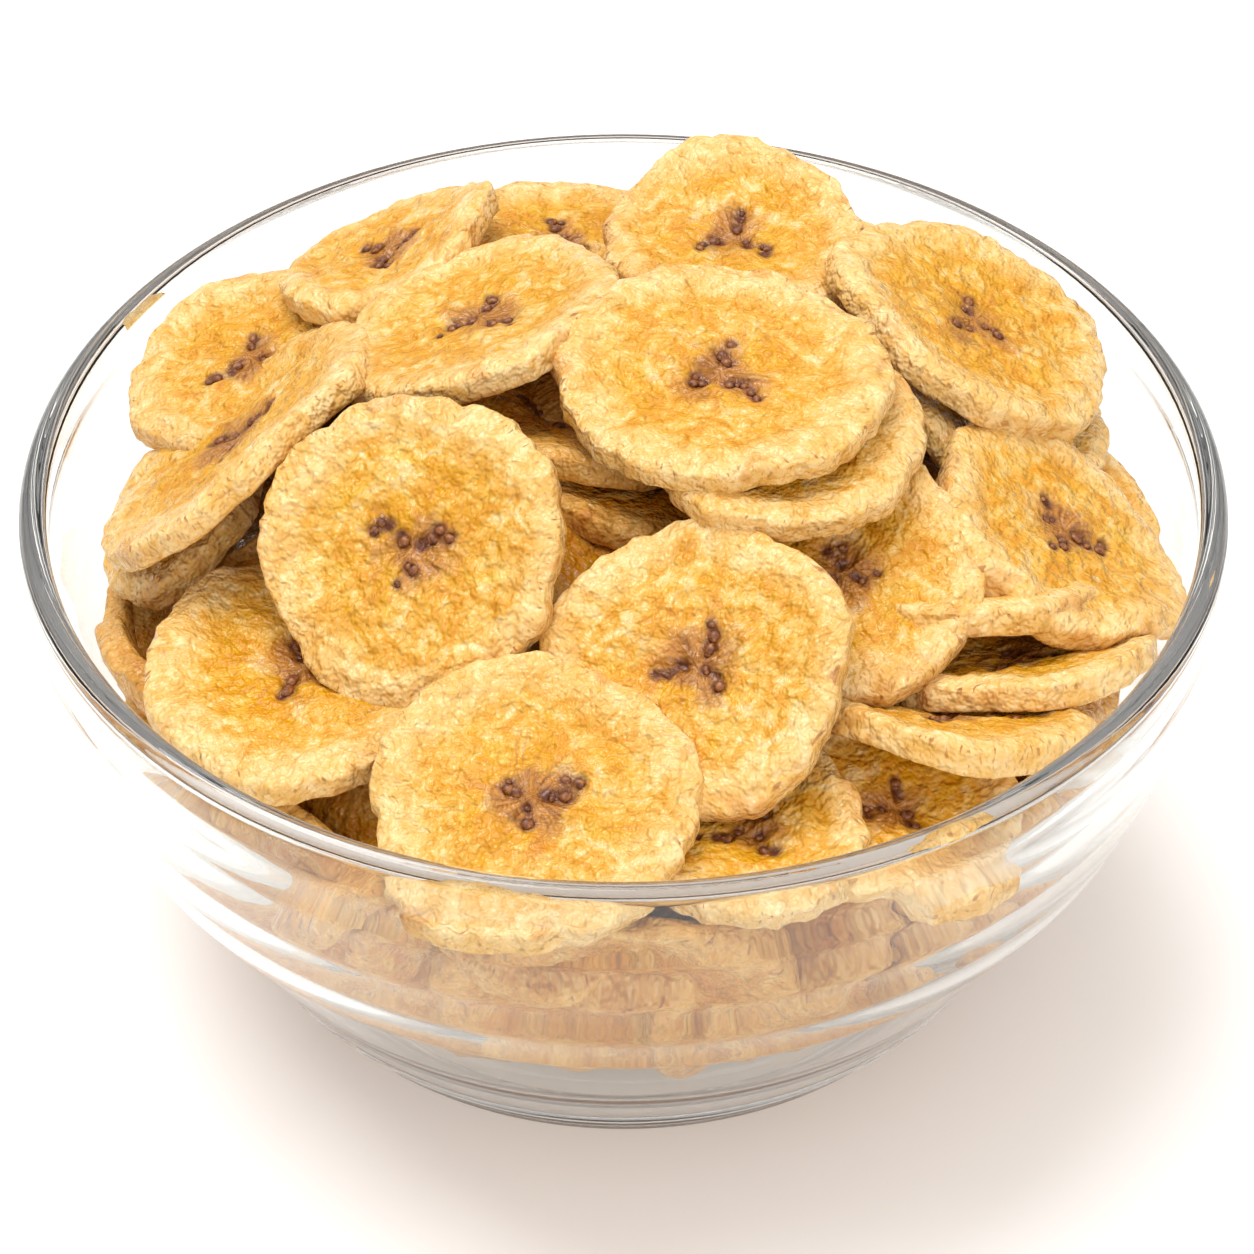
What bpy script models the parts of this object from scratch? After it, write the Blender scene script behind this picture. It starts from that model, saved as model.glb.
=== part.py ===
"""A glass bowl heaped with fried banana crisps.

Frame: +Z up, -Y towards the front, origin on the floor under the middle of the
bowl's foot. The bowl is one turned solid. The heap of crisps is one solid that
follows the inside of the glass and rises over the rim in a dome of overlapping
round slices.
"""
import math

import bmesh
import bpy
from mathutils import Matrix, Vector, noise

# ---------------------------------------------------------------- sizes, mm
MM = 0.001

BOWL_RADIUS = 70.0        # outside of the rim
BOWL_HEIGHT = 64.0        # floor to the top of the rim
FOOT_RADIUS = 43.0        # outer wall carried down to the floor
WALL_SWELL = 2.03         # how fast the outer wall turns upright
WALL_FOOT_POWER = 1.07    # how softly it leaves the foot

RIM_BEAD = 3.3            # thickness of the rounded rim
FLOOR_THICKNESS = 5.0     # glass under the crisps
FLOOR_BLEND = 10.0        # radius where the inner floor turns up into the wall
GLASS_WALL = 3.0          # wall just under the rim
WALL_THICKENING = 2.0     # added evenly from the rim down to the foot

STEP_HEIGHT = 30.0        # the upper wall overhangs the lower one here
STEP_OUT = 0.7            # upper wall stands out from the plain curve
STEP_IN = 0.8             # lower wall falls back from it
STEP_BLEND = 2.0          # height over which the step turns
LOWER_BLEND_START = 7.5   # the lower wall leaves the foot rings here

BAND_COUNT = 4            # shallow ridges round the upper wall
BAND_TOP = 60.0
BAND_DEPTH = 0.3
BEAD_FADE = 8.0           # the overhang dies away over this height below them
FOOT_RING_COUNT = 3       # stacked rings round the foot
FOOT_RING_PITCH = 2.3
FOOT_RING_DEPTH = 0.5
FOOT_RING_START = 0.6     # height where the first ring begins

REST_RING_OUTER = 41.5    # flat ring that stands on the table
REST_RING_INNER = 36.5
RECESS_RADIUS = 34.5      # hollow under the foot
RECESS_DEPTH = 1.2

GAP = 0.3                 # crisps to glass, straight down
ROOM_CLEARANCE = 0.5      # and sideways
TURN_STEPS = 48           # flats round the bowl and the heap

CRISP_THICKNESS = 3.5
CRISP_EDGE = 1.2          # rounding of a crisp's edge
CRISP_DISH = 0.5          # how far the middle of a face is sunk
CRISP_STEPS = 16          # flats round a crisp
CRISP_CORNERS = 5         # a banana is faintly five-sided
CRISP_UNEVEN = 0.03       # how far those corners stand out, as a share

BED_EDGE_HEIGHT = 48.0    # bed of crisps at the glass
BED_MIDDLE_HEIGHT = 73.0  # bed in the middle, under the top crisps
BED_OVERSIZE = 5.0        # the bed starts this far outside the glass
BED_RINGS = 8             # rings from there to the middle
BED_ROUGHNESS = 2.0       # how uneven the bed is between the crisps
BED_GRAIN = 14.0          # size of that unevenness
ROOM_RINGS = 8            # rings up the inside of the glass
RING_CROWDING = 1.5       # above 1, so the rings crowd where the wall curves
ROOM_TOP = 100.0          # the crisps reach over the rim, inside its width
WELD = 0.01               # points nearer than this are one

# The crisps on top of the heap, as they lie. Each row gives the middle of the
# upper face (x, y, z), how far the slice leans from flat and towards which
# side it faces (degrees, 0 = +X, 90 = +Y), and its radius.
TOP_CRISPS = (
    # x,   y,  z, lean, faces, radius
    (11, 0, 80, 5, -100, 18.5),     # crown
    (18, -5, 76, 6, -60, 16.5),     # under the crown
    (-24, -20, 70, 40, -115, 18),   # leans on the dome, facing the front
    (-10, -50, 60, 17, -95, 18),    # front, against the glass
    (8, -35, 66, 30, -115, 17.5),   # between the front one and the crown
    (-46, 7, 65, 39, 180, 19.5),    # steep, on the left slope
    (-17, 17, 75, 20, 145, 17.5),   # behind the leaning one
    (13, 36, 75, 5, -155, 16.5),    # back of the dome
    (42, 23, 70, 25, 5, 18),        # right shoulder
    (51, -7, 62, 30, 0, 17),        # right, down to the glass
    (25, -20, 67, 20, -80, 16),     # below the crown on the right
    (-36, -26, 58, 2, -165, 18.5),  # flat, front left
    (-45, 26, 64, 21, -175, 16),    # left shoulder
    (-29, 40, 68, 24, 150, 14),
    (-8, 44, 68, 4, 90, 15),
    (-53, 4, 56, 38, -172, 12),
    (22, 44, 68, 17, 45, 15),
    (43, 18, 63, 24, 10, 17),
    (52, 4, 57, 28, 0, 14),
    (39, -13, 59, 28, 100, 15),     # three on edge, on the right
    (45, -23, 57, 28, 100, 14),
    (37, -35, 59, 27, 82, 14),
    (30, -44, 54, 10, -60, 14),
    (14, -49, 55, 5, -130, 13),
)


# ------------------------------------------------------------ bowl's shape
def plain_outer_radius(z):
    """Outer wall without its bands: full at the rim, falling in to the foot."""
    rise = 1.0 - z / BOWL_HEIGHT
    swell = (1.0 - rise ** WALL_SWELL) ** WALL_FOOT_POWER
    return FOOT_RADIUS + (BOWL_RADIUS - FOOT_RADIUS) * swell


def smooth_step(value, low, high):
    """0 below low, 1 above high, an S between."""
    share = min(max((value - low) / (high - low), 0.0), 1.0)
    return share * share * (3.0 - 2.0 * share)


def outer_radius(z):
    """Outer wall with its foot rings, its step and its bands."""
    radius = plain_outer_radius(z)
    foot_top = FOOT_RING_START + FOOT_RING_COUNT * FOOT_RING_PITCH
    if z < foot_top:
        turn = (z - FOOT_RING_START) / FOOT_RING_PITCH
        return radius + FOOT_RING_DEPTH * abs(math.sin(math.pi * turn))
    above = smooth_step(z, STEP_HEIGHT - STEP_BLEND / 2, STEP_HEIGHT + STEP_BLEND / 2)
    below = smooth_step(z, LOWER_BLEND_START, STEP_HEIGHT / 2) * (1.0 - above)
    bead_fade = 1.0 - smooth_step(z, BAND_TOP - BEAD_FADE, BAND_TOP)
    radius += STEP_OUT * above * bead_fade - STEP_IN * below
    if STEP_HEIGHT < z < BAND_TOP:
        turn = (z - STEP_HEIGHT) / (BAND_TOP - STEP_HEIGHT) * BAND_COUNT
        radius -= BAND_DEPTH * (1.0 - abs(math.sin(math.pi * turn))) * above
    return radius


def inner_radius(z):
    """Inside of the glass: it follows the outside, then turns into the floor."""
    wall = GLASS_WALL + WALL_THICKENING * (1.0 - z / BOWL_HEIGHT)
    blend = min(max(FLOOR_THICKNESS + FLOOR_BLEND - z, 0.0), FLOOR_BLEND)
    corner = FLOOR_BLEND - math.sqrt(FLOOR_BLEND ** 2 - blend ** 2)
    return plain_outer_radius(z) - wall - corner


def bowl_profile():
    """(radius, height) points: middle of the underside, foot, outer wall, rim,
    inner wall, middle of the floor."""
    points = [(0.0, RECESS_DEPTH), (RECESS_RADIUS, RECESS_DEPTH),
              (REST_RING_INNER, 0.0), (REST_RING_OUTER, 0.0)]

    ring_points = 3
    for ring in range(FOOT_RING_COUNT):
        for step in range(ring_points):
            z = FOOT_RING_START + (ring + step / ring_points) * FOOT_RING_PITCH
            points.append((outer_radius(z), z))

    lower_start = FOOT_RING_START + FOOT_RING_COUNT * FOOT_RING_PITCH
    lower_end = STEP_HEIGHT - STEP_BLEND / 2
    upper_start = STEP_HEIGHT + STEP_BLEND / 2
    lower_points = 5
    for step in range(lower_points + 1):
        z = lower_start + (lower_end - lower_start) * step / lower_points
        points.append((outer_radius(z), z))

    points.append((outer_radius(upper_start), upper_start))
    band_points = 3 * BAND_COUNT
    for step in range(1, band_points):
        z = STEP_HEIGHT + (BAND_TOP - STEP_HEIGHT) * step / band_points
        points.append((outer_radius(z), z))

    bead = RIM_BEAD / 2
    bead_points = 6
    for step in range(bead_points + 1):
        angle = math.pi * step / bead_points
        points.append((BOWL_RADIUS - bead + bead * math.cos(angle),
                       BOWL_HEIGHT - bead + bead * math.sin(angle)))

    inner_points = 11
    top = BOWL_HEIGHT - 2 * RIM_BEAD
    for step in range(inner_points + 1):
        share = 1.0 - step / inner_points
        z = FLOOR_THICKNESS + (top - FLOOR_THICKNESS) * share ** RING_CROWDING
        points.append((inner_radius(z), z))
    points.append((0.0, FLOOR_THICKNESS))
    return points


# ------------------------------------------------------------ heap's shape
def crisp_profile(radius):
    """(radius, height) points of a slice from the middle of its upper face,
    over its rounded edge, to the middle of its lower face."""
    return [(0.0, -CRISP_DISH), (radius * 0.55, -CRISP_DISH),
            (radius - CRISP_EDGE, 0.0), (radius, -CRISP_THICKNESS / 2),
            (radius - CRISP_EDGE, -CRISP_THICKNESS), (0.0, -CRISP_THICKNESS)]


def bed_profile():
    """(radius, height) points of the loose bed under the top crisps. It is a
    dome wider than the bowl, which the room inside the glass then trims."""
    outside = BOWL_RADIUS + BED_OVERSIZE
    points = [(0.0, -BED_OVERSIZE), (outside, -BED_OVERSIZE)]
    for step in range(BED_RINGS + 1):
        radius = outside * (1.0 - step / BED_RINGS)
        reach = min(radius / (BOWL_RADIUS - GLASS_WALL), 1.0)
        rise = (BED_MIDDLE_HEIGHT - BED_EDGE_HEIGHT) * (1.0 - reach ** 2)
        points.append((radius, BED_EDGE_HEIGHT + rise))
    return points


def room_profile():
    """(radius, height) points of the room inside the glass, less the gap."""
    floor = FLOOR_THICKNESS + GAP
    top = BOWL_HEIGHT - 2 * RIM_BEAD
    points = [(0.0, floor)]
    for step in range(ROOM_RINGS + 1):
        z = floor + (top - floor) * (step / ROOM_RINGS) ** RING_CROWDING
        points.append((inner_radius(z - GAP) - ROOM_CLEARANCE, z))
    points += [(points[-1][0], ROOM_TOP), (0.0, ROOM_TOP)]
    return points


# ------------------------------------------------------------- Blender work
def clear_scene():
    for item in list(bpy.data.objects):
        bpy.data.objects.remove(item, do_unlink=True)


def make_material(name, colour, roughness, transmission=0.0):
    material = bpy.data.materials.new(name)
    material.use_nodes = True
    shader = material.node_tree.nodes["Principled BSDF"]
    shader.inputs["Base Color"].default_value = (*colour, 1.0)
    shader.inputs["Roughness"].default_value = roughness
    shader.inputs["Metallic"].default_value = 0.0
    shader.inputs["Transmission Weight"].default_value = transmission
    material.diffuse_color = (*colour, 1.0)
    return material


def spin_profile(mesh, profile, steps):
    """Turn (radius, height) points in mm once round Z into a closed shell."""
    verts = [mesh.verts.new((radius * MM, 0.0, height * MM)) for radius, height in profile]
    edges = [mesh.edges.new(pair) for pair in zip(verts, verts[1:])]
    bmesh.ops.spin(mesh, geom=verts + edges, axis=(0, 0, 1), cent=(0, 0, 0),
                   angle=2 * math.pi, steps=steps, use_merge=True)
    bmesh.ops.remove_doubles(mesh, verts=mesh.verts, dist=1e-6)
    bmesh.ops.recalc_face_normals(mesh, faces=mesh.faces)


def add_object(name, mesh, material, sharp_degrees):
    data = bpy.data.meshes.new(name)
    mesh.to_mesh(data)
    mesh.free()
    data.materials.append(material)
    data.shade_smooth()
    data.set_sharp_from_angle(angle=math.radians(sharp_degrees))
    item = bpy.data.objects.new(name, data)
    bpy.context.collection.objects.link(item)
    return item


def make_bowl():
    mesh = bmesh.new()
    spin_profile(mesh, bowl_profile(), TURN_STEPS)
    glass = make_material("clear_pressed_glass", (0.93, 0.96, 0.95), 0.03, 1.0)
    return add_object("glass_bowl", mesh, glass, 40)


def hide_cutter(item):
    item.hide_render = True
    item.display_type = "WIRE"


def add_crisp_cutter(row, index, material, collection):
    """One slice, made flat and then laid as its row says."""
    x, y, z, lean, faces, radius = row
    mesh = bmesh.new()
    spin_profile(mesh, crisp_profile(radius), CRISP_STEPS)
    for vert in mesh.verts:
        angle = math.atan2(vert.co.y, vert.co.x)
        corner = 1.0 + CRISP_UNEVEN * math.cos(CRISP_CORNERS * angle + index)
        vert.co.x *= corner
        vert.co.y *= corner
    place = (Matrix.Translation(Vector((x, y, z)) * MM)
             @ Matrix.Rotation(math.radians(faces), 4, "Z")
             @ Matrix.Rotation(math.radians(lean), 4, "Y"))
    mesh.transform(place)
    crisp = add_object(f"crisp_cutter_{index:02d}", mesh, material, 30)
    hide_cutter(crisp)
    bpy.context.collection.objects.unlink(crisp)
    collection.objects.link(crisp)


def add_boolean(item, operation, **operand):
    cut = item.modifiers.new(operation.lower(), "BOOLEAN")
    cut.operation = operation
    cut.solver = "EXACT"
    for setting, value in operand.items():
        setattr(cut, setting, value)


def islands(mesh):
    """Groups of connected faces."""
    left = set(mesh.faces)
    while left:
        group, edge_of = set(), [left.pop()]
        while edge_of:
            face = edge_of.pop()
            group.add(face)
            near = {other for edge in face.edges for other in edge.link_faces}
            edge_of.extend(near & left)
            left -= near
        yield group


def keep_outer_shell(item):
    """Apply an object's modifiers and fill the hollows sealed in under its
    slices, by keeping only the shell with the most faces."""
    evaluated = item.evaluated_get(bpy.context.evaluated_depsgraph_get())
    mesh = bmesh.new()
    mesh.from_mesh(evaluated.to_mesh())
    evaluated.to_mesh_clear()
    bmesh.ops.triangulate(mesh, faces=mesh.faces)
    bmesh.ops.remove_doubles(mesh, verts=mesh.verts, dist=WELD * MM)
    bmesh.ops.dissolve_degenerate(mesh, edges=mesh.edges, dist=WELD * MM)
    shells = sorted(islands(mesh), key=len)
    hollows = [face for shell in shells[:-1] for face in shell]
    bmesh.ops.delete(mesh, geom=hollows, context="FACES")
    item.modifiers.clear()
    mesh.to_mesh(item.data)
    mesh.free()


def make_heap():
    """The bed and the slices on it, joined and trimmed to the room inside the
    glass, so that the heap is one solid."""
    crisp = make_material("fried_banana", (0.84, 0.56, 0.22), 0.55)

    mesh = bmesh.new()
    spin_profile(mesh, bed_profile(), TURN_STEPS)
    for vert in mesh.verts:
        if vert.co.z > 0.0:
            grain = vert.co / (BED_GRAIN * MM)
            vert.co.z += noise.noise(grain) * BED_ROUGHNESS * MM
    heap = add_object("crisps_heap", mesh, crisp, 30)

    slices = bpy.data.collections.new("top_crisps")
    bpy.context.scene.collection.children.link(slices)
    for index, row in enumerate(TOP_CRISPS):
        add_crisp_cutter(row, index, crisp, slices)

    mesh = bmesh.new()
    spin_profile(mesh, room_profile(), TURN_STEPS)
    room = add_object("room_cutter", mesh, crisp, 30)
    hide_cutter(room)

    add_boolean(heap, "UNION", operand_type="COLLECTION", collection=slices)
    add_boolean(heap, "INTERSECT", object=room)
    keep_outer_shell(heap)
    return heap


clear_scene()
make_bowl()
make_heap()
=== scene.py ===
"""Looks of a glass bowl heaped with fried banana slices.

The bowl is one piece of clear pressed glass. The heap is made of single slices:
those that lie on top, those that show through the glass, and a bed of plainer
ones between, over a smaller core. Lengths are in millimetres until add_piece(), which
turns them into metres.
"""

import math
import random

import bmesh
import bpy
import numpy as np
from mathutils import Matrix, Vector, noise


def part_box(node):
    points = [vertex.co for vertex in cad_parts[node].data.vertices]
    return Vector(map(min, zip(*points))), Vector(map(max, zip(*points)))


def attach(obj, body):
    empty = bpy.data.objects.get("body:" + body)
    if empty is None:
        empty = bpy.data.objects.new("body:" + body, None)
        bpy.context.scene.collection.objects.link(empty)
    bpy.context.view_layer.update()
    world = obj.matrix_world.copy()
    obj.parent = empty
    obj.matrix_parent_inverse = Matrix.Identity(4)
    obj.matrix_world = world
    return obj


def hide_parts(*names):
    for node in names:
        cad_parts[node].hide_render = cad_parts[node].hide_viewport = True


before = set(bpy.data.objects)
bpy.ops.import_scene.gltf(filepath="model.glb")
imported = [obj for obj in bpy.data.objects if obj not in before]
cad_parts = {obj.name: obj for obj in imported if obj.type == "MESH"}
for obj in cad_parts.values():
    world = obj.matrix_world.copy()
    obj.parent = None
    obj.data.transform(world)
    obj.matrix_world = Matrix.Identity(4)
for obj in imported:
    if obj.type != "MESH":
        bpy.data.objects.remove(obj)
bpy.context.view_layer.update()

MM = 0.001
LOW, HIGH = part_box("glass_bowl")

# ------------------------------------------------------------- the bowl, mm
BOWL_RADIUS = (HIGH.x - LOW.x) / 2 / MM
BOWL_HEIGHT = HIGH.z / MM
FOOT_RADIUS = 43.0        # outer wall carried down to the floor
WALL_SWELL = 2.03         # how fast the outer wall turns upright
WALL_FOOT_POWER = 1.07    # how softly it leaves the foot
RIM_BEAD = 3.3            # thickness of the rounded rim
FLOOR_THICKNESS = 5.0     # glass under the slices
FLOOR_BLEND = 10.0        # radius where the inner floor turns up into the wall
GLASS_WALL = 3.0          # even all the way down, so it is clear to look through
STEP_HEIGHT = 30.0        # the upper wall overhangs the lower one here
STEP_OUT = 0.7
STEP_IN = 0.8
STEP_BLEND = 2.0
LOWER_BLEND_START = 7.5
BAND_COUNT = 4            # shallow ridges round the upper wall
BAND_TOP = 60.0
BAND_DEPTH = 0.14
BEAD_FADE = 8.0
FOOT_RING_COUNT = 3       # stacked rings round the foot
FOOT_RING_PITCH = 2.3
FOOT_RING_DEPTH = 0.5
FOOT_RING_START = 0.6
REST_RING_OUTER = 41.5    # flat ring that stands on the table
REST_RING_INNER = 36.5
RECESS_RADIUS = 34.5
RECESS_DEPTH = 1.2
GLASS_STEPS = 144         # flats round the bowl

# ----------------------------------------------------------- the slices, mm
SLICE_THICKNESS = 3.3
SLICE_CORNER = 0.7        # rounding of its edges
SLICE_RADIUS = 16.0       # of the usual slice, before it is sized by its row
CHAMBERS = 3              # seed chambers round the middle of a banana
SEED_LIFT = 0.12          # how far a seed's middle stands over its pit
TOP_DETAIL = (108, 24)    # flats round a slice, rings over its face
WALL_DETAIL = (66, 14)
BED_DETAIL = (60, 12)
# Each row gives the middle of a slice's upper face (x, y, z), how far the
# slice leans from flat and towards which side it faces (degrees, 0 = +X,
# 90 = +Y), its radius, how much wider than long it is, and its curl.
TOP_SLICES = (
    # x,   y,  z, lean, faces, radius, wide, curl
    (11, 0, 80, 5, -100, 18.5, 1.05, 0.6),     # crown
    (18, -5, 76, 6, -60, 16.5, 1.0, 0.4),      # under the crown
    (-24, -20, 70, 40, -115, 18, 1.0, 0.5),    # leans on the dome
    (-10, -50, 60, 17, -95, 18, 1.05, 0.7),    # front, against the glass
    (8, -35, 66, 30, -115, 17.5, 1.0, 0.7),    # between those and the crown
    (-46, 7, 65, 39, 155, 20, 1.3, 0.6),       # steep, on the left slope
    (-17, 17, 75, 20, 145, 17.5, 1.1, 0.9),
    (13, 36, 73, 5, -155, 16.5, 1.1, 1.2),
    (42, 23, 70, 25, 5, 18, 1.0, 0.8),
    (51, -7, 62, 30, 0, 17, 1.05, 0.8),
    (25, -20, 67, 20, -80, 16, 1.0, 0.5),
    (-36, -26, 58, 2, -165, 18.5, 1.05, 0.8),
    (-45, 26, 62, 15, -175, 16, 1.0, 0.6),
    (-29, 40, 68, 24, 150, 14, 1.2, 1.2),
    (-8, 44, 66, 4, 90, 15, 1.1, 0.8),
    (-53, 4, 56, 38, -172, 12, 1.0, 0.5),
    (24, 45, 63, 17, 45, 15, 1.0, 0.8),
    (43, 18, 63, 24, 10, 17, 1.0, 0.8),
    (52, 4, 57, 28, 0, 14, 1.0, 0.8),
    (39, -13, 59, 28, 100, 15, 1.1, 0.8),
    (45, -23, 57, 28, 100, 14, 1.2, 0.8),
    (37, -35, 59, 27, 82, 14, 1.2, 0.8),
    (30, -44, 54, 10, -60, 14, 1.0, 0.8),
    (14, -49, 55, 5, -130, 13, 1.0, 0.8),
)

# ---------------------------------------------------- slices lower down, mm
BED_COUNT = 54            # slices between and under the top ones
BED_REACH = 57.0          # how far out they go
BED_EDGE_HEIGHT = 48.0    # of the bed at the glass
BED_DOME = 25.0           # how much higher it is in the middle
BED_DROP = 0.7            # one step down, to lie clear of the top slices
BED_TRIES = 34            # steps before a slice is left out
GOLDEN_ANGLE = math.radians(137.5)
# Rows of slices against the glass: height, count, and where the first lies (degrees).
WALL_ROWS = ((44.0, 15, 12.0), (32.0, 15, 2.0), (20.0, 15, 15.0))
WALL_TRIES = 16
# The slice that faces out through the front, in the order of against_glass().
FRONT_SLICE = (37.0, -91.0, 2.0, 0.0, 17.5, 1.2)
FRONT_CLEAR = 13.0        # degrees each side of it that the two upper rows keep free
OVER_FACE = 40.0          # no lower slice lies within this height over a top slice's face
CORE_CLEAR = 9.0          # between the core and the glass
CORE_TOP = 44.0           # of its upright wall

# ------------------------------------------------------------ what is drawn
CAMERA_DISTANCE = 0.588   # m
CAMERA_ELEVATION = math.radians(41.5)
CAMERA_LENS = 140.4       # mm
FRAME_LIFT = 0.009        # m, how far over the bowl's middle the camera aims
LIGHT_BOUNCES = 18        # light runs far along inside the glass before it leaves at the rim


# ------------------------------------------------------------ bowl's shape
def smooth_step(value, low, high):
    """0 below low, 1 above high, an S between."""
    share = min(max((value - low) / (high - low), 0.0), 1.0)
    return share * share * (3.0 - 2.0 * share)


def plain_outer_radius(z):
    """Outer wall without its bands: full at the rim, falling in to the foot."""
    rise = 1.0 - z / BOWL_HEIGHT
    swell = (1.0 - rise ** WALL_SWELL) ** WALL_FOOT_POWER
    return FOOT_RADIUS + (BOWL_RADIUS - FOOT_RADIUS) * swell


def outer_radius(z):
    """Outer wall with its foot rings, its step and its bands."""
    radius = plain_outer_radius(z)
    if z < FOOT_RING_START + FOOT_RING_COUNT * FOOT_RING_PITCH:
        turn = (z - FOOT_RING_START) / FOOT_RING_PITCH
        return radius + FOOT_RING_DEPTH * abs(math.sin(math.pi * turn))
    above = smooth_step(z, STEP_HEIGHT - STEP_BLEND / 2, STEP_HEIGHT + STEP_BLEND / 2)
    below = smooth_step(z, LOWER_BLEND_START, STEP_HEIGHT / 2) * (1.0 - above)
    bead_fade = 1.0 - smooth_step(z, BAND_TOP - BEAD_FADE, BAND_TOP)
    radius += STEP_OUT * above * bead_fade - STEP_IN * below
    if STEP_HEIGHT < z < BAND_TOP:
        turn = (z - STEP_HEIGHT) / (BAND_TOP - STEP_HEIGHT) * BAND_COUNT
        radius -= BAND_DEPTH * (1.0 - abs(math.sin(math.pi * turn))) * above
    return radius


def inner_radius(z):
    """Inside of the glass: it follows the outside, then turns into the floor."""
    z = min(max(z, FLOOR_THICKNESS), BOWL_HEIGHT)
    blend = min(max(FLOOR_THICKNESS + FLOOR_BLEND - z, 0.0), FLOOR_BLEND)
    corner = FLOOR_BLEND - math.sqrt(FLOOR_BLEND ** 2 - blend ** 2)
    return plain_outer_radius(z) - GLASS_WALL - corner


def bowl_profile():
    """(radius, height) points from the middle of the underside, over the rim,
    to the middle of the inner floor."""
    points = [(0.0, RECESS_DEPTH), (RECESS_RADIUS * 0.6, RECESS_DEPTH),
              (RECESS_RADIUS, RECESS_DEPTH), (REST_RING_INNER, 0.0),
              (REST_RING_OUTER, 0.0), (outer_radius(0.0) - 0.4, 0.15)]
    outer_points = 96
    for step in range(outer_points):
        z = FOOT_RING_START + (BAND_TOP - FOOT_RING_START) * step / outer_points
        points.append((outer_radius(z), z))
    bead = RIM_BEAD / 2
    bead_points = 14
    for step in range(bead_points + 1):
        angle = math.pi * step / bead_points
        points.append((BOWL_RADIUS - bead + bead * math.cos(angle),
                       BOWL_HEIGHT - bead + bead * math.sin(angle)))
    inner_points = 48
    top = BOWL_HEIGHT - 2 * RIM_BEAD
    for step in range(inner_points + 1):
        share = 1.0 - step / inner_points
        z = FLOOR_THICKNESS + (top - FLOOR_THICKNESS) * share ** 1.8
        points.append((inner_radius(z), z))
    points += [(RECESS_RADIUS * 0.6, FLOOR_THICKNESS), (0.0, FLOOR_THICKNESS)]
    return points


# ------------------------------------------------------------ mesh helpers
def spin_profile(profile, steps):
    """Turn (radius, height) points once round Z into a new closed shell."""
    mesh = bmesh.new()
    verts = [mesh.verts.new((radius, 0.0, height)) for radius, height in profile]
    edges = [mesh.edges.new(pair) for pair in zip(verts, verts[1:])]
    bmesh.ops.spin(mesh, geom=verts + edges, axis=(0, 0, 1), cent=(0, 0, 0),
                   angle=2 * math.pi, steps=steps, use_merge=True)
    bmesh.ops.remove_doubles(mesh, verts=mesh.verts, dist=1e-4)
    bmesh.ops.recalc_face_normals(mesh, faces=mesh.faces)
    return mesh


def append(mesh, part):
    """Add all of a finished part to a growing mesh."""
    held = bpy.data.meshes.new("held")
    part.to_mesh(held)
    part.free()
    mesh.from_mesh(held)
    bpy.data.meshes.remove(held)


def add_piece(name, mesh, material, sharp_degrees=60):
    """Make a finished mesh in millimetres a piece in metres, at the origin."""
    bmesh.ops.scale(mesh, vec=(MM, MM, MM), verts=mesh.verts)
    data = bpy.data.meshes.new(name)
    mesh.to_mesh(data)
    mesh.free()
    data.materials.append(material)
    data.shade_smooth()
    data.set_sharp_from_angle(angle=math.radians(sharp_degrees))
    piece = bpy.data.objects.new(name, data)
    bpy.context.collection.objects.link(piece)
    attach(piece, "root")
    return piece


# ---------------------------------------------------------------- slices
FLAT_SLICES = {}


def flat_slice(turn_steps, face_rings):
    """A new mesh of a flat slice of the usual radius, as fine as asked for."""
    if (turn_steps, face_rings) not in FLAT_SLICES:
        turned = spin_profile(slice_profile(face_rings), turn_steps)
        FLAT_SLICES[turn_steps, face_rings] = bpy.data.meshes.new("flat_slice")
        turned.to_mesh(FLAT_SLICES[turn_steps, face_rings])
        turned.free()
    part = bmesh.new()
    part.from_mesh(FLAT_SLICES[turn_steps, face_rings])
    return part


def slice_profile(face_rings):
    """(radius, height) points of a flat slice, from the middle of its upper
    face, over its rounded edge, to the middle of its lower face."""
    inside = SLICE_RADIUS - SLICE_CORNER
    points = [(inside * step / (face_rings - 1), 0.0) for step in range(face_rings)]
    for low, steps in ((0.0, (1, 2, 3)), (SLICE_THICKNESS - 2 * SLICE_CORNER, (3, 4, 5))):
        for step in steps:
            angle = math.pi / 2 * step / 3
            points.append((inside + SLICE_CORNER * math.sin(angle),
                           SLICE_CORNER * (math.cos(angle) - 1.0) - low))
    under = face_rings // 2
    points += [(inside * (1.0 - step / (under - 1)), -SLICE_THICKNESS) for step in range(under)]
    return points


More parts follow.
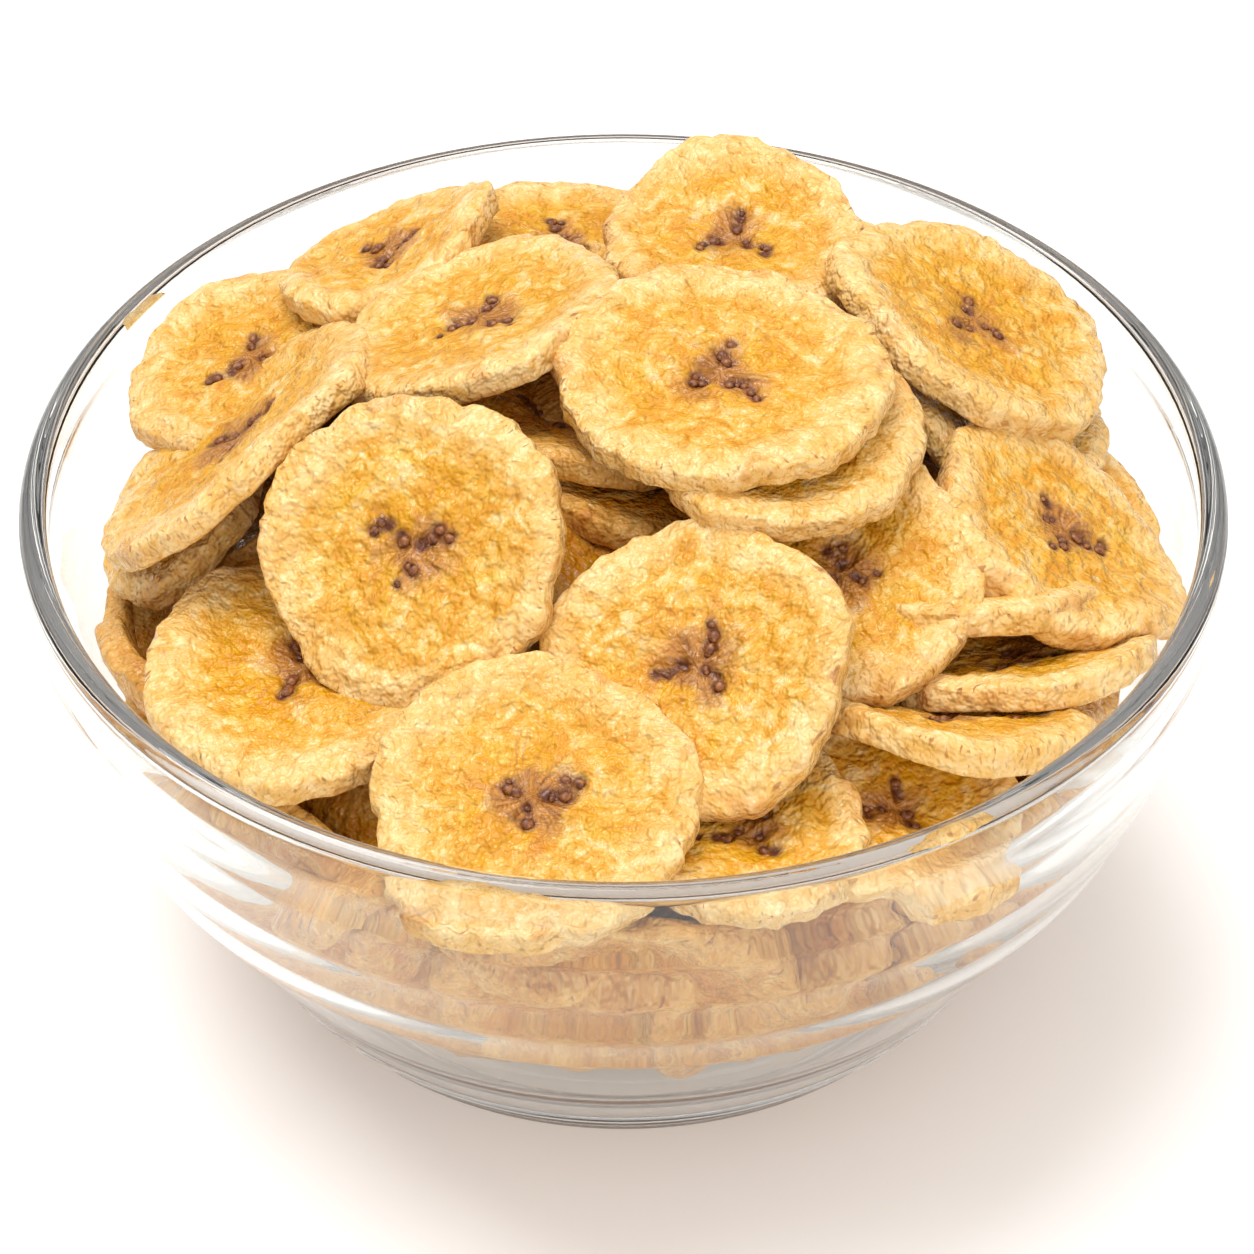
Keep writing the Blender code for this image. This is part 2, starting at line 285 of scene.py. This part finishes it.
class SliceShape:
    """What makes one slice differ from the next: its corners, its curl, its
    lumps and the way its three seed chambers point."""

    def __init__(self, row, rng):
        self.x, self.y, self.z, self.lean, self.faces, self.radius, self.wide, self.curl = row
        self.lot = Vector([rng.uniform(-300, 300) for _ in range(3)])
        self.turns = [rng.uniform(0, 2 * math.pi) for _ in range(6)]
        self.strength = [rng.uniform(0.5, 1.5) for _ in range(4)]
        self.chambers = rng.uniform(0, 2 * math.pi)
        self.place = (Matrix.Translation((self.x, self.y, self.z))
                      @ Matrix.Rotation(math.radians(self.faces), 4, "Z")
                      @ Matrix.Rotation(math.radians(self.lean), 4, "Y"))
        self.pits = []
        for chamber in range(CHAMBERS):
            middle = self.chambers + chamber * 2 * math.pi / CHAMBERS
            for spot in range(rng.randint(3, 5)):
                out = rng.uniform(1.0, 2.2) + 1.0 * spot
                angle = middle + rng.uniform(-1.1, 1.1) / (0.6 + out)
                self.pits.append((out * math.cos(angle), out * math.sin(angle),
                                  rng.uniform(0.42, 0.92), rng.random() < 0.8))

    def bend(self, flat, ring, angle):
        """How far the whole slice lifts here: curled, and warped by frying."""
        saddle = math.cos(2 * (angle - self.turns[0]))
        ripple = math.cos(3 * angle + self.turns[1]) * self.strength[0]
        warp = noise.noise(Vector((flat.x, flat.y, 0.0)) / 11.0 + self.lot)
        return self.curl * ring * ring * (saddle + 0.35 * ripple) + 0.9 * warp

    def stain(self, flat):
        """1 in a seed's pit, fading to 0 round it."""
        near = 0.0
        for x, y, size, _ in self.pits:
            away = (flat.x - x) ** 2 + (flat.y - y) ** 2
            near = max(near, math.exp(-away / (size + 0.35) ** 2))
        return near

    def moved(self, flat):
        """Where a point of the flat round slice ends up."""
        ring = math.hypot(flat.x, flat.y) / self.radius
        angle = math.atan2(flat.y, flat.x)
        upper = min(max(1.0 + flat.z / (0.6 * SLICE_THICKNESS), 0.0), 1.0)
        edge = smooth_step(ring, 0.72, 1.0)
        first, second, third = self.strength[1:]
        outline = (1.0 + 0.020 * first * math.cos(5 * angle + self.turns[2])
                   + 0.022 * second * math.cos(3 * angle + self.turns[3])
                   + 0.022 * third * math.cos(2 * angle + self.turns[4]))
        around = Vector((math.cos(angle), math.sin(angle), 0.0)) * self.radius
        nicks = (0.80 * noise.noise(around / 3.4 + self.lot)
                 + 0.46 * noise.noise(around / 1.3 + self.lot))
        outline += edge * nicks / self.radius

        # Frying puffs the rim up, sinks the middle and the pits, and pebbles the rest.
        swollen = 0.50 * math.exp(-((ring - 0.84) / 0.10) ** 2)
        sunk = 0.35 * math.exp(-(ring / 0.62) ** 4) + 0.4 * math.exp(-(ring / 0.22) ** 2)
        if ring < 0.5:
            sunk += 0.6 * self.stain(flat)
        lumps = (0.45 * noise.noise(flat / 4.2 + self.lot)
                 + 0.32 * noise.noise(flat / 1.9 + self.lot)
                 + 0.24 * noise.noise(flat / 0.95 + self.lot))
        rise = self.bend(flat, ring, angle) + upper * (swollen - sunk + lumps)
        return Vector((flat.x * outline * self.wide ** -0.5,
                       flat.y * outline * self.wide ** 0.5, flat.z + rise))


def add_slice(mesh, row, rng, detail=TOP_DETAIL):
    """One fried slice, laid as its row says. It carries attributes for the
    colouring: where each point is on the slice (plan: one at the edge, Z is 1
    on the side), in the fruit (grain), and how near it is to a seed (stain)."""
    shape = SliceShape(row, rng)
    part = flat_slice(*detail)
    size = shape.radius / SLICE_RADIUS
    plan = part.verts.layers.float_vector.new("slice_plan")
    grain = part.verts.layers.float_vector.new("slice_grain")
    stain = part.verts.layers.float.new("seed_stain")
    turned = Matrix.Rotation(-shape.chambers, 3, "Z")
    for vert in part.verts:
        flat = Vector((vert.co.x * size, vert.co.y * size, vert.co.z))
        on_plan = turned @ flat / shape.radius
        outer = flat.length > 0.8 * shape.radius
        side = smooth_step(-flat.z, 0.25, 1.1) if outer else 0.0
        vert[plan] = (on_plan.x, on_plan.y, side)
        vert[grain] = flat + shape.lot
        if on_plan.length < 0.5 and flat.z > -0.1:
            vert[stain] = shape.stain(flat)
        vert.co = shape.moved(flat)
    part.transform(shape.place)
    append(mesh, part)
    return shape


def add_seeds(mesh, shape, rng):
    """Small soft seeds, half sunk in the pits of the slice's upper face."""
    part = bmesh.new()
    for x, y, size, filled in shape.pits:
        if not filled:
            continue
        pit = shape.moved(Vector((x, y, 0.0)))
        spot = (Matrix.Translation(pit + Vector((0.0, 0.0, SEED_LIFT)))
                @ Matrix.Rotation(rng.uniform(0, math.pi), 4, "Z")
                @ Matrix.Diagonal((size * 1.1, size * rng.uniform(0.75, 1.0), size * 0.7, 1.0)))
        bmesh.ops.create_icosphere(part, subdivisions=2, radius=0.85,
                                   matrix=shape.place @ spot)
    append(mesh, part)


# ------------------------------------------------------ keeping them apart
DISC_POINTS = np.array([
    (share * math.cos(step * math.pi / 10), share * math.sin(step * math.pi / 10), height, 1.0)
    for share in (0.0, 0.5, 0.8, 1.0) for step in range(20)
    for height in (0.6, -SLICE_THICKNESS - 0.2)])
WALL_HEIGHTS = np.linspace(FLOOR_THICKNESS, BOWL_HEIGHT, 60)
WALL_RADII = np.array([inner_radius(height) for height in WALL_HEIGHTS])


class Pile:
    """The slices laid so far, as plain discs, to lay the next ones clear."""

    def __init__(self):
        self.inverses, self.spans = [], []

    @staticmethod
    def disc(row):
        """Placed sample points all over a slice of this row, and its matrix."""
        x, y, z, lean, faces, radius, wide, _ = row
        place = (Matrix.Translation((x, y, z))
                 @ Matrix.Rotation(math.radians(faces), 4, "Z")
                 @ Matrix.Rotation(math.radians(lean), 4, "Y"))
        size = Matrix.Diagonal((radius * wide ** -0.5, radius * wide ** 0.5, 1.0, 1.0))
        return DISC_POINTS @ np.array(place @ size).T, place

    def add(self, row):
        _, place = self.disc(row)
        self.inverses.append(np.array(place.inverted()))
        self.spans.append((row[5] * row[6] ** -0.5, row[5] * row[6] ** 0.5))

    def meets(self, row, above=0.9, below=SLICE_THICKNESS + 0.3):
        """True if the row's slice would cut into one of the pile, or lie less
        than above over its face."""
        if not self.inverses:
            return False
        points, _ = self.disc(row)
        local = np.einsum("nij,pj->npi", np.array(self.inverses), points)
        spans = np.array(self.spans)[:, None, :]
        inside = np.hypot(*np.moveaxis(local[..., :2] / spans, -1, 0)) < 1.0
        return bool((inside & (local[..., 2] > -below) & (local[..., 2] < above)).any())


def leaves_the_glass(row, clear=0.7):
    """True if the row's slice would come within clear of the inside of the
    glass, or reach the floor."""
    points, _ = Pile.disc(row)
    radii = np.hypot(points[:, 0], points[:, 1])
    walls = np.interp(points[:, 2], WALL_HEIGHTS, WALL_RADII) - clear
    return bool(((radii > walls) & (points[:, 2] < BOWL_HEIGHT + 2)).any()
                or (points[:, 2] < FLOOR_THICKNESS + 0.5).any())


# ---------------------------------------------------------------- finishes
def linear(hex_colour):
    """An sRGB hex colour as linear RGBA."""
    channels = [int(hex_colour[i:i + 2], 16) / 255 for i in (1, 3, 5)]
    return (*[c / 12.92 if c <= 0.04045 else ((c + 0.055) / 1.055) ** 2.4
              for c in channels], 1.0)


def node(tree, kind, settings=None, **inputs):
    """Add one node with its settings, values and links. Inputs are named as
    on the node, with _ for a space; a numbered one is i0, i1 and so on."""
    made = tree.nodes.new(kind)
    for key, value in (settings or {}).items():
        setattr(made, key, value)
    for key, value in inputs.items():
        number = key[1:] if key[0] == "i" and key[1:].isdigit() else None
        socket = made.inputs[int(number)] if number else made.inputs[key.replace("_", " ")]
        if isinstance(value, bpy.types.NodeSocket):
            tree.links.new(value, socket)
        else:
            socket.default_value = value
    return made


def new_material(name):
    """A material with its tree, and its Principled shader."""
    material = bpy.data.materials.new(name)
    material.use_nodes = True
    return material, material.node_tree, material.node_tree.nodes["Principled BSDF"]


def pressed_glass():
    """Heat-proof glass, pressed and fire polished: clear and glossy, faintly
    grey-green where it is looked through edgeways."""
    material, tree, shader = new_material("clear_pressed_glass")
    shader.inputs["Base Color"].default_value = linear("#EFF2F1")
    shader.inputs["Roughness"].default_value = 0.0
    shader.inputs["IOR"].default_value = 1.47
    shader.inputs["Transmission Weight"].default_value = 1.0
    shader.inputs["Specular Tint"].default_value = linear("#EAEBEB")
    return material


def ramp(tree, factor, *stops):
    """A colour ramp from (position, hex) stops."""
    made = node(tree, "ShaderNodeValToRGB", Fac=factor)
    elements = made.color_ramp.elements
    while len(elements) < len(stops):
        elements.new(0.5)
    for element, (position, colour) in zip(elements, stops):
        element.position = position
        element.color = linear(colour)
    return made.outputs["Color"]


def fried_banana(name="fried_banana", painted_shade_tint="#FFFFFF"):
    """Banana sliced across and fried: a pale puffed rim nicked with brown, a
    golden pebbly flesh, a caramel middle round the seeds, and a film of oil.
    The slices low in the bowl get painted shade: a tint, when given, multiplies their colour darker
    for the shade they lie in."""
    material, tree, shader = new_material(name)

    def attribute(name, output="Vector"):
        return node(tree, "ShaderNodeAttribute", {"attribute_name": name}).outputs[output]

    def vector_node(operation, output="Vector", **inputs):
        made = node(tree, "ShaderNodeVectorMath", {"operation": operation}, **inputs)
        return made.outputs[output]

    def noise_at(place, size, detail=2.0, rough=0.55, twist=0.0):
        """Noise whose lumps are size units of its place across."""
        return node(tree, "ShaderNodeTexNoise", Vector=place, Scale=1.0 / size,
                    Detail=detail, Roughness=rough, Distortion=twist).outputs["Fac"]

    def math_node(operation, first, second=0.0):
        return node(tree, "ShaderNodeMath", {"operation": operation},
                    i0=first, i1=second).outputs[0]

    def times(first, second):
        return math_node("MULTIPLY", first, second)

    def less(first, second):
        return math_node("SUBTRACT", first, second)

    def fade(value, low, high):
        return node(tree, "ShaderNodeMapRange", {"interpolation_type": "SMOOTHSTEP"},
                    Value=value, From_Min=low, From_Max=high).outputs["Result"]

    def mix(factor, first, second, blend="MIX"):
        return node(tree, "ShaderNodeMix", {"data_type": "RGBA", "blend_type": blend},
                    i0=factor, i6=first, i7=second).outputs[2]

    grain = attribute("slice_grain")
    stain = attribute("seed_stain", "Fac")
    parts = node(tree, "ShaderNodeSeparateXYZ", Vector=attribute("slice_plan"))
    flat = node(tree, "ShaderNodeCombineXYZ", X=parts.outputs["X"], Y=parts.outputs["Y"]).outputs[0]
    side = parts.outputs["Z"]
    ring = vector_node("LENGTH", "Value", i0=flat)

    patches = noise_at(grain, 6.5, 1.0, 0.6, 0.8)
    clouds = noise_at(grain, 3.6, 2.0, 0.6, 1.0)
    pebbles = noise_at(grain, 0.9, 1.0, 0.6)
    # Streaks that run out from the middle: noise of the direction, not the place.
    toward = vector_node("NORMALIZE", i0=flat)
    streak_place = vector_node("ADD", i0=toward, i1=vector_node("SCALE", i0=grain, Scale=0.045))
    streaks = noise_at(streak_place, 0.13, 1.0, 0.6)
    uneven_ring = math_node("ADD", ring, times(less(patches, 0.5), 0.55))
    mottle = math_node("ADD", times(clouds, 0.72), times(pebbles, 0.28))

    flesh = ramp(tree, mottle,
                 (0.38, "#CA8718"), (0.47, "#D2972E"), (0.55, "#D9A84E"), (0.64, "#E1BC7C"))
    amber = ramp(tree, mottle, (0.38, "#C78610"), (0.52, "#CF9314"), (0.66, "#D9AB42"))
    flesh = mix(fade(patches, 0.45, 0.62), flesh, amber)
    rim = ramp(tree, mottle, (0.36, "#D9A550"), (0.5, "#E1B56E"), (0.66, "#EAC98E"))
    colour = mix(fade(uneven_ring, 0.62, 0.92), flesh, rim)

    caramel = ramp(tree, streaks, (0.3, "#793F13"), (0.5, "#9A5F23"), (0.68, "#B98038"))
    middle = less(1.0, fade(uneven_ring, 0.10, 0.34))
    colour = mix(times(middle, 0.9), colour, caramel)
    tan = times(fade(streaks, 0.57, 0.7), less(1.0, fade(ring, 0.26, 0.6)))
    colour = mix(times(tan, 0.5), colour, linear("#B06927"))
    colour = mix(fade(stain, 0.2, 0.9), colour, linear("#5E2F16"))

    nicks = fade(noise_at(streak_place, 0.045, 0.0), 0.7, 0.77)
    edge = times(fade(ring, 0.9, 0.97), less(1.0, times(side, 0.45)))
    colour = mix(times(times(nicks, edge), 0.75), colour, linear("#9A5A22"))
    browned = times(fade(patches, 0.57, 0.7), fade(ring, 0.8, 0.97))
    colour = mix(times(browned, 0.45), colour, linear("#BC782F"))
    # Painted shade: the slices low in the bowl have their colour multiplied darker by this tint.
    if painted_shade_tint != "#FFFFFF":
        colour = mix(1.0, colour, linear(painted_shade_tint), "MULTIPLY")
    tree.links.new(colour, shader.inputs["Base Color"])

    oil = fade(pebbles, 0.45, 0.6)
    tree.links.new(less(0.48, times(oil, 0.26)), shader.inputs["Roughness"])
    shader.inputs["IOR"].default_value = 1.45

    wrinkles = noise_at(grain, 1.7, 2.0, 0.6)
    bump = node(tree, "ShaderNodeBump", Height=wrinkles, Distance=1.4 * MM, Strength=1.0)
    tree.links.new(bump.outputs["Normal"], shader.inputs["Normal"])
    return material


def seed_skin():
    """Soft dried seeds, brown and a little glossy with oil."""
    material, tree, shader = new_material("dried_seed")
    place = node(tree, "ShaderNodeTexCoord").outputs["Object"]
    tint = node(tree, "ShaderNodeTexNoise", Vector=place, Scale=1.0 / (0.6 * MM), Detail=2.0)
    colour = ramp(tree, tint.outputs["Fac"],
                  (0.33, "#4A230C"), (0.52, "#784018"), (0.72, "#A4682E"))
    tree.links.new(colour, shader.inputs["Base Color"])
    shader.inputs["Roughness"].default_value = 0.45
    return material


# ------------------------------------------------------------------ pieces
def make_bowl():
    """The bowl. It is clear, so the lamps and the light thrown between the
    slices and the table pass straight through it."""
    mesh = spin_profile(bowl_profile(), GLASS_STEPS)
    bowl = add_piece("pressed_glass_bowl", mesh, pressed_glass(), 35)
    bowl.visible_shadow = bowl.visible_diffuse = False
    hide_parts("glass_bowl")


def make_top_slices(skin, seeds, pile):
    """The slices on top, as their rows say, in two pieces."""
    rng = random.Random(7)
    half = len(TOP_SLICES) // 2
    halves = (("top_slices_high", TOP_SLICES[:half]), ("top_slices_low", TOP_SLICES[half:]))
    for name, rows in halves:
        mesh = bmesh.new()
        for row in rows:
            add_seeds(seeds, add_slice(mesh, row, rng), rng)
            pile.add(row)
        top = add_piece(name, mesh, skin)
        if name == "top_slices_high":
            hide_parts("crisps_heap")


def bed_height(x, y):
    """Height of the heap under its top slices."""
    reach = min(math.hypot(x, y) / (BOWL_RADIUS - GLASS_WALL), 1.0)
    return BED_EDGE_HEIGHT + BED_DOME * (1.0 - reach ** 2)


def make_bed_slices(skin, seeds, pile):
    """Slices between and under the top ones, on a sunflower spiral. Each sinks
    until it is clear of those on top."""
    rng = random.Random(11)
    mesh = bmesh.new()
    for index in range(BED_COUNT):
        reach = BED_REACH * math.sqrt((index + 0.5) / BED_COUNT)
        angle = index * GOLDEN_ANGLE
        x, y = reach * math.cos(angle), reach * math.sin(angle)
        lean = 6.0 + 20.0 * reach / BED_REACH + rng.uniform(-8, 14)
        faces = math.degrees(angle) + rng.uniform(-70, 70)
        radius, wide = rng.uniform(14.0, 16.5), rng.uniform(0.9, 1.1)
        z = bed_height(x, y) - rng.uniform(0.0, 3.0)
        for _ in range(BED_TRIES):
            row = (x, y, z, lean, faces, radius, wide, 0.8)
            if leaves_the_glass(row):
                x, y = x * 0.97, y * 0.97
            elif pile.meets(row, above=OVER_FACE):
                z -= BED_DROP
            else:
                add_seeds(seeds, add_slice(mesh, row, rng, BED_DETAIL), rng)
                break
    add_piece("bed_slices", mesh, skin)


def against_glass(height, around, tilt, twist, radius, wide):
    """The row of a slice lying on the inside of the glass, pushed out until it
    meets it. Tilt draws its upper edge in, twist one of its sides."""
    angle = math.radians(around)
    slope = (inner_radius(height + 9) - inner_radius(height - 9)) / 18.0
    lean = 90.0 + math.degrees(math.atan(slope)) - tilt
    row = None
    for step in range(80):
        out = inner_radius(height) - 20.0 + 0.25 * step
        moved = (out * math.cos(angle), out * math.sin(angle), height, lean, around + twist,
                 radius, wide, 0.45)
        if leaves_the_glass(moved, 0.8):
            break
        row = moved
    return row


def make_wall_slices(skin, seeds, pile):
    """Slices that lie against the inside of the glass, lapped like tiles, in
    rows from the floor to the mouth."""
    rng = random.Random(5)
    mesh = bmesh.new()
    spots = [FRONT_SLICE]
    for height, count, start in WALL_ROWS:
        for index in range(count):
            around = start + 360.0 * index / count + rng.uniform(-5, 5)
            from_front = abs((around - FRONT_SLICE[1] + 180) % 360 - 180)
            if height > WALL_ROWS[-1][0] and from_front < FRONT_CLEAR:
                continue
            spots.append((height + rng.uniform(-2.0, 2.0), around, rng.uniform(-2, 12),
                          rng.uniform(3, 14), rng.uniform(14.0, 16.5), rng.uniform(0.92, 1.12)))
    for height, *others in spots:
        for _ in range(WALL_TRIES):
            row = against_glass(height, *others)
            if row and not pile.meets(row, above=OVER_FACE):
                add_seeds(seeds, add_slice(mesh, row, rng, WALL_DETAIL), rng)
                break
            height += -1.0 if row else 0.8
    add_piece("wall_slices", mesh, skin)


def make_core(skin):
    """What is out of sight inside the heap."""
    floor = FLOOR_THICKNESS + 4.0
    profile = [(0.0, floor), (RECESS_RADIUS - 6.0, floor)]
    for step in range(1, 9):
        z = floor + (CORE_TOP - floor) * step / 8
        profile.append((inner_radius(z) - CORE_CLEAR, z))
    rings, widest = 10, profile[8][0]
    for step in range(1, rings + 1):
        radius = widest * (1.0 - step / rings)
        profile.append((radius, bed_height(radius, 0.0) - 7.5))
    mesh = spin_profile(profile, 72)
    grain = mesh.verts.layers.float_vector.new("slice_grain")
    plan = mesh.verts.layers.float_vector.new("slice_plan")
    for vert in mesh.verts:
        vert[grain] = vert.co
        vert[plan] = (0.5, 0.0, 0.0)
    add_piece("heap_core", mesh, skin)


# ------------------------------------------------------------------- stage
def make_stage():
    """A white card floor, a soft sky and two large lamps."""
    bpy.ops.mesh.primitive_circle_add(vertices=96, radius=3.0, fill_type="NGON")
    floor = bpy.context.object
    floor.name = "floor"
    material, tree, shader = new_material("white_card")
    shader.inputs["Base Color"].default_value = linear("#F6F5F4")
    shader.inputs["Roughness"].default_value = 0.8
    shader.inputs["Specular IOR Level"].default_value = 0.1
    floor.data.materials.append(material)

    world = bpy.data.worlds.new("studio")
    bpy.context.scene.world = world
    world.use_nodes = True
    tree = world.node_tree
    back = tree.nodes["Background"]
    # Bright overhead and dimmer toward the horizon, which draws the glass's edges.
    toward = node(tree, "ShaderNodeTexCoord").outputs["Generated"]
    height = node(tree, "ShaderNodeSeparateXYZ", Vector=toward).outputs["Z"]
    sky = ramp(tree, height,
               (0.02, "#8F9294"), (0.22, "#A9ABAC"), (0.5, "#FBFAF8"), (1.0, "#FFFFFF"))
    tree.links.new(sky, back.inputs["Color"])
    back.inputs["Strength"].default_value = 1.0
    world.cycles.sampling_method = "NONE"  # it is smooth, so it needs no rays of its own

    def softbox(name, place, size, watts):
        light = bpy.data.lights.new(name, "AREA")
        light.shape = "RECTANGLE"
        light.size, light.size_y = size
        light.energy = watts
        item = bpy.data.objects.new(name, light)
        item.location = place
        toward_bowl = Vector((0, 0, 0.05)) - Vector(place)
        item.rotation_euler = toward_bowl.to_track_quat("-Z", "Y").to_euler()
        bpy.context.collection.objects.link(item)

    softbox("key_light", (-0.2, 0.2, 0.9), (0.6, 0.6), 7.0)
    softbox("fill_light", (0.4, -0.9, 0.5), (0.9, 0.6), 4.3)
    scene = bpy.context.scene
    scene.view_settings.view_transform = "Standard"
    scene.cycles.max_bounces = LIGHT_BOUNCES
    scene.cycles.transmission_bounces = LIGHT_BOUNCES
    scene.cycles.glossy_bounces = LIGHT_BOUNCES
    scene.cycles.diffuse_bounces = 3


def make_camera():
    """A long lens above the front edge, aimed a little over the bowl's middle."""
    camera = bpy.data.cameras.new("camera")
    camera.sensor_width = 36.0
    camera.lens = CAMERA_LENS
    item = bpy.data.objects.new("camera", camera)
    aim = Vector((0.0004, 0.0, BOWL_HEIGHT * MM / 2))
    outward = Vector((0, -math.cos(CAMERA_ELEVATION), math.sin(CAMERA_ELEVATION)))
    item.location = aim + CAMERA_DISTANCE * outward
    aim.z += FRAME_LIFT
    item.rotation_euler = (aim - item.location).to_track_quat("-Z", "Y").to_euler()
    bpy.context.collection.objects.link(item)
    bpy.context.scene.camera = item


make_camera()
make_stage()
make_bowl()
skin = fried_banana()
# Painted shade: a darker copy of the finish for the slices low in the bowl, behind the top ones and
# the glass.
painted_shade_skin = fried_banana("fried_banana_painted_shade", "#ECD9AE")
seed_mesh = bmesh.new()
top_pile = Pile()
make_top_slices(skin, seed_mesh, top_pile)
make_wall_slices(painted_shade_skin, seed_mesh, top_pile)
make_bed_slices(painted_shade_skin, seed_mesh, top_pile)
make_core(painted_shade_skin)
add_piece("slice_seeds", seed_mesh, seed_skin())
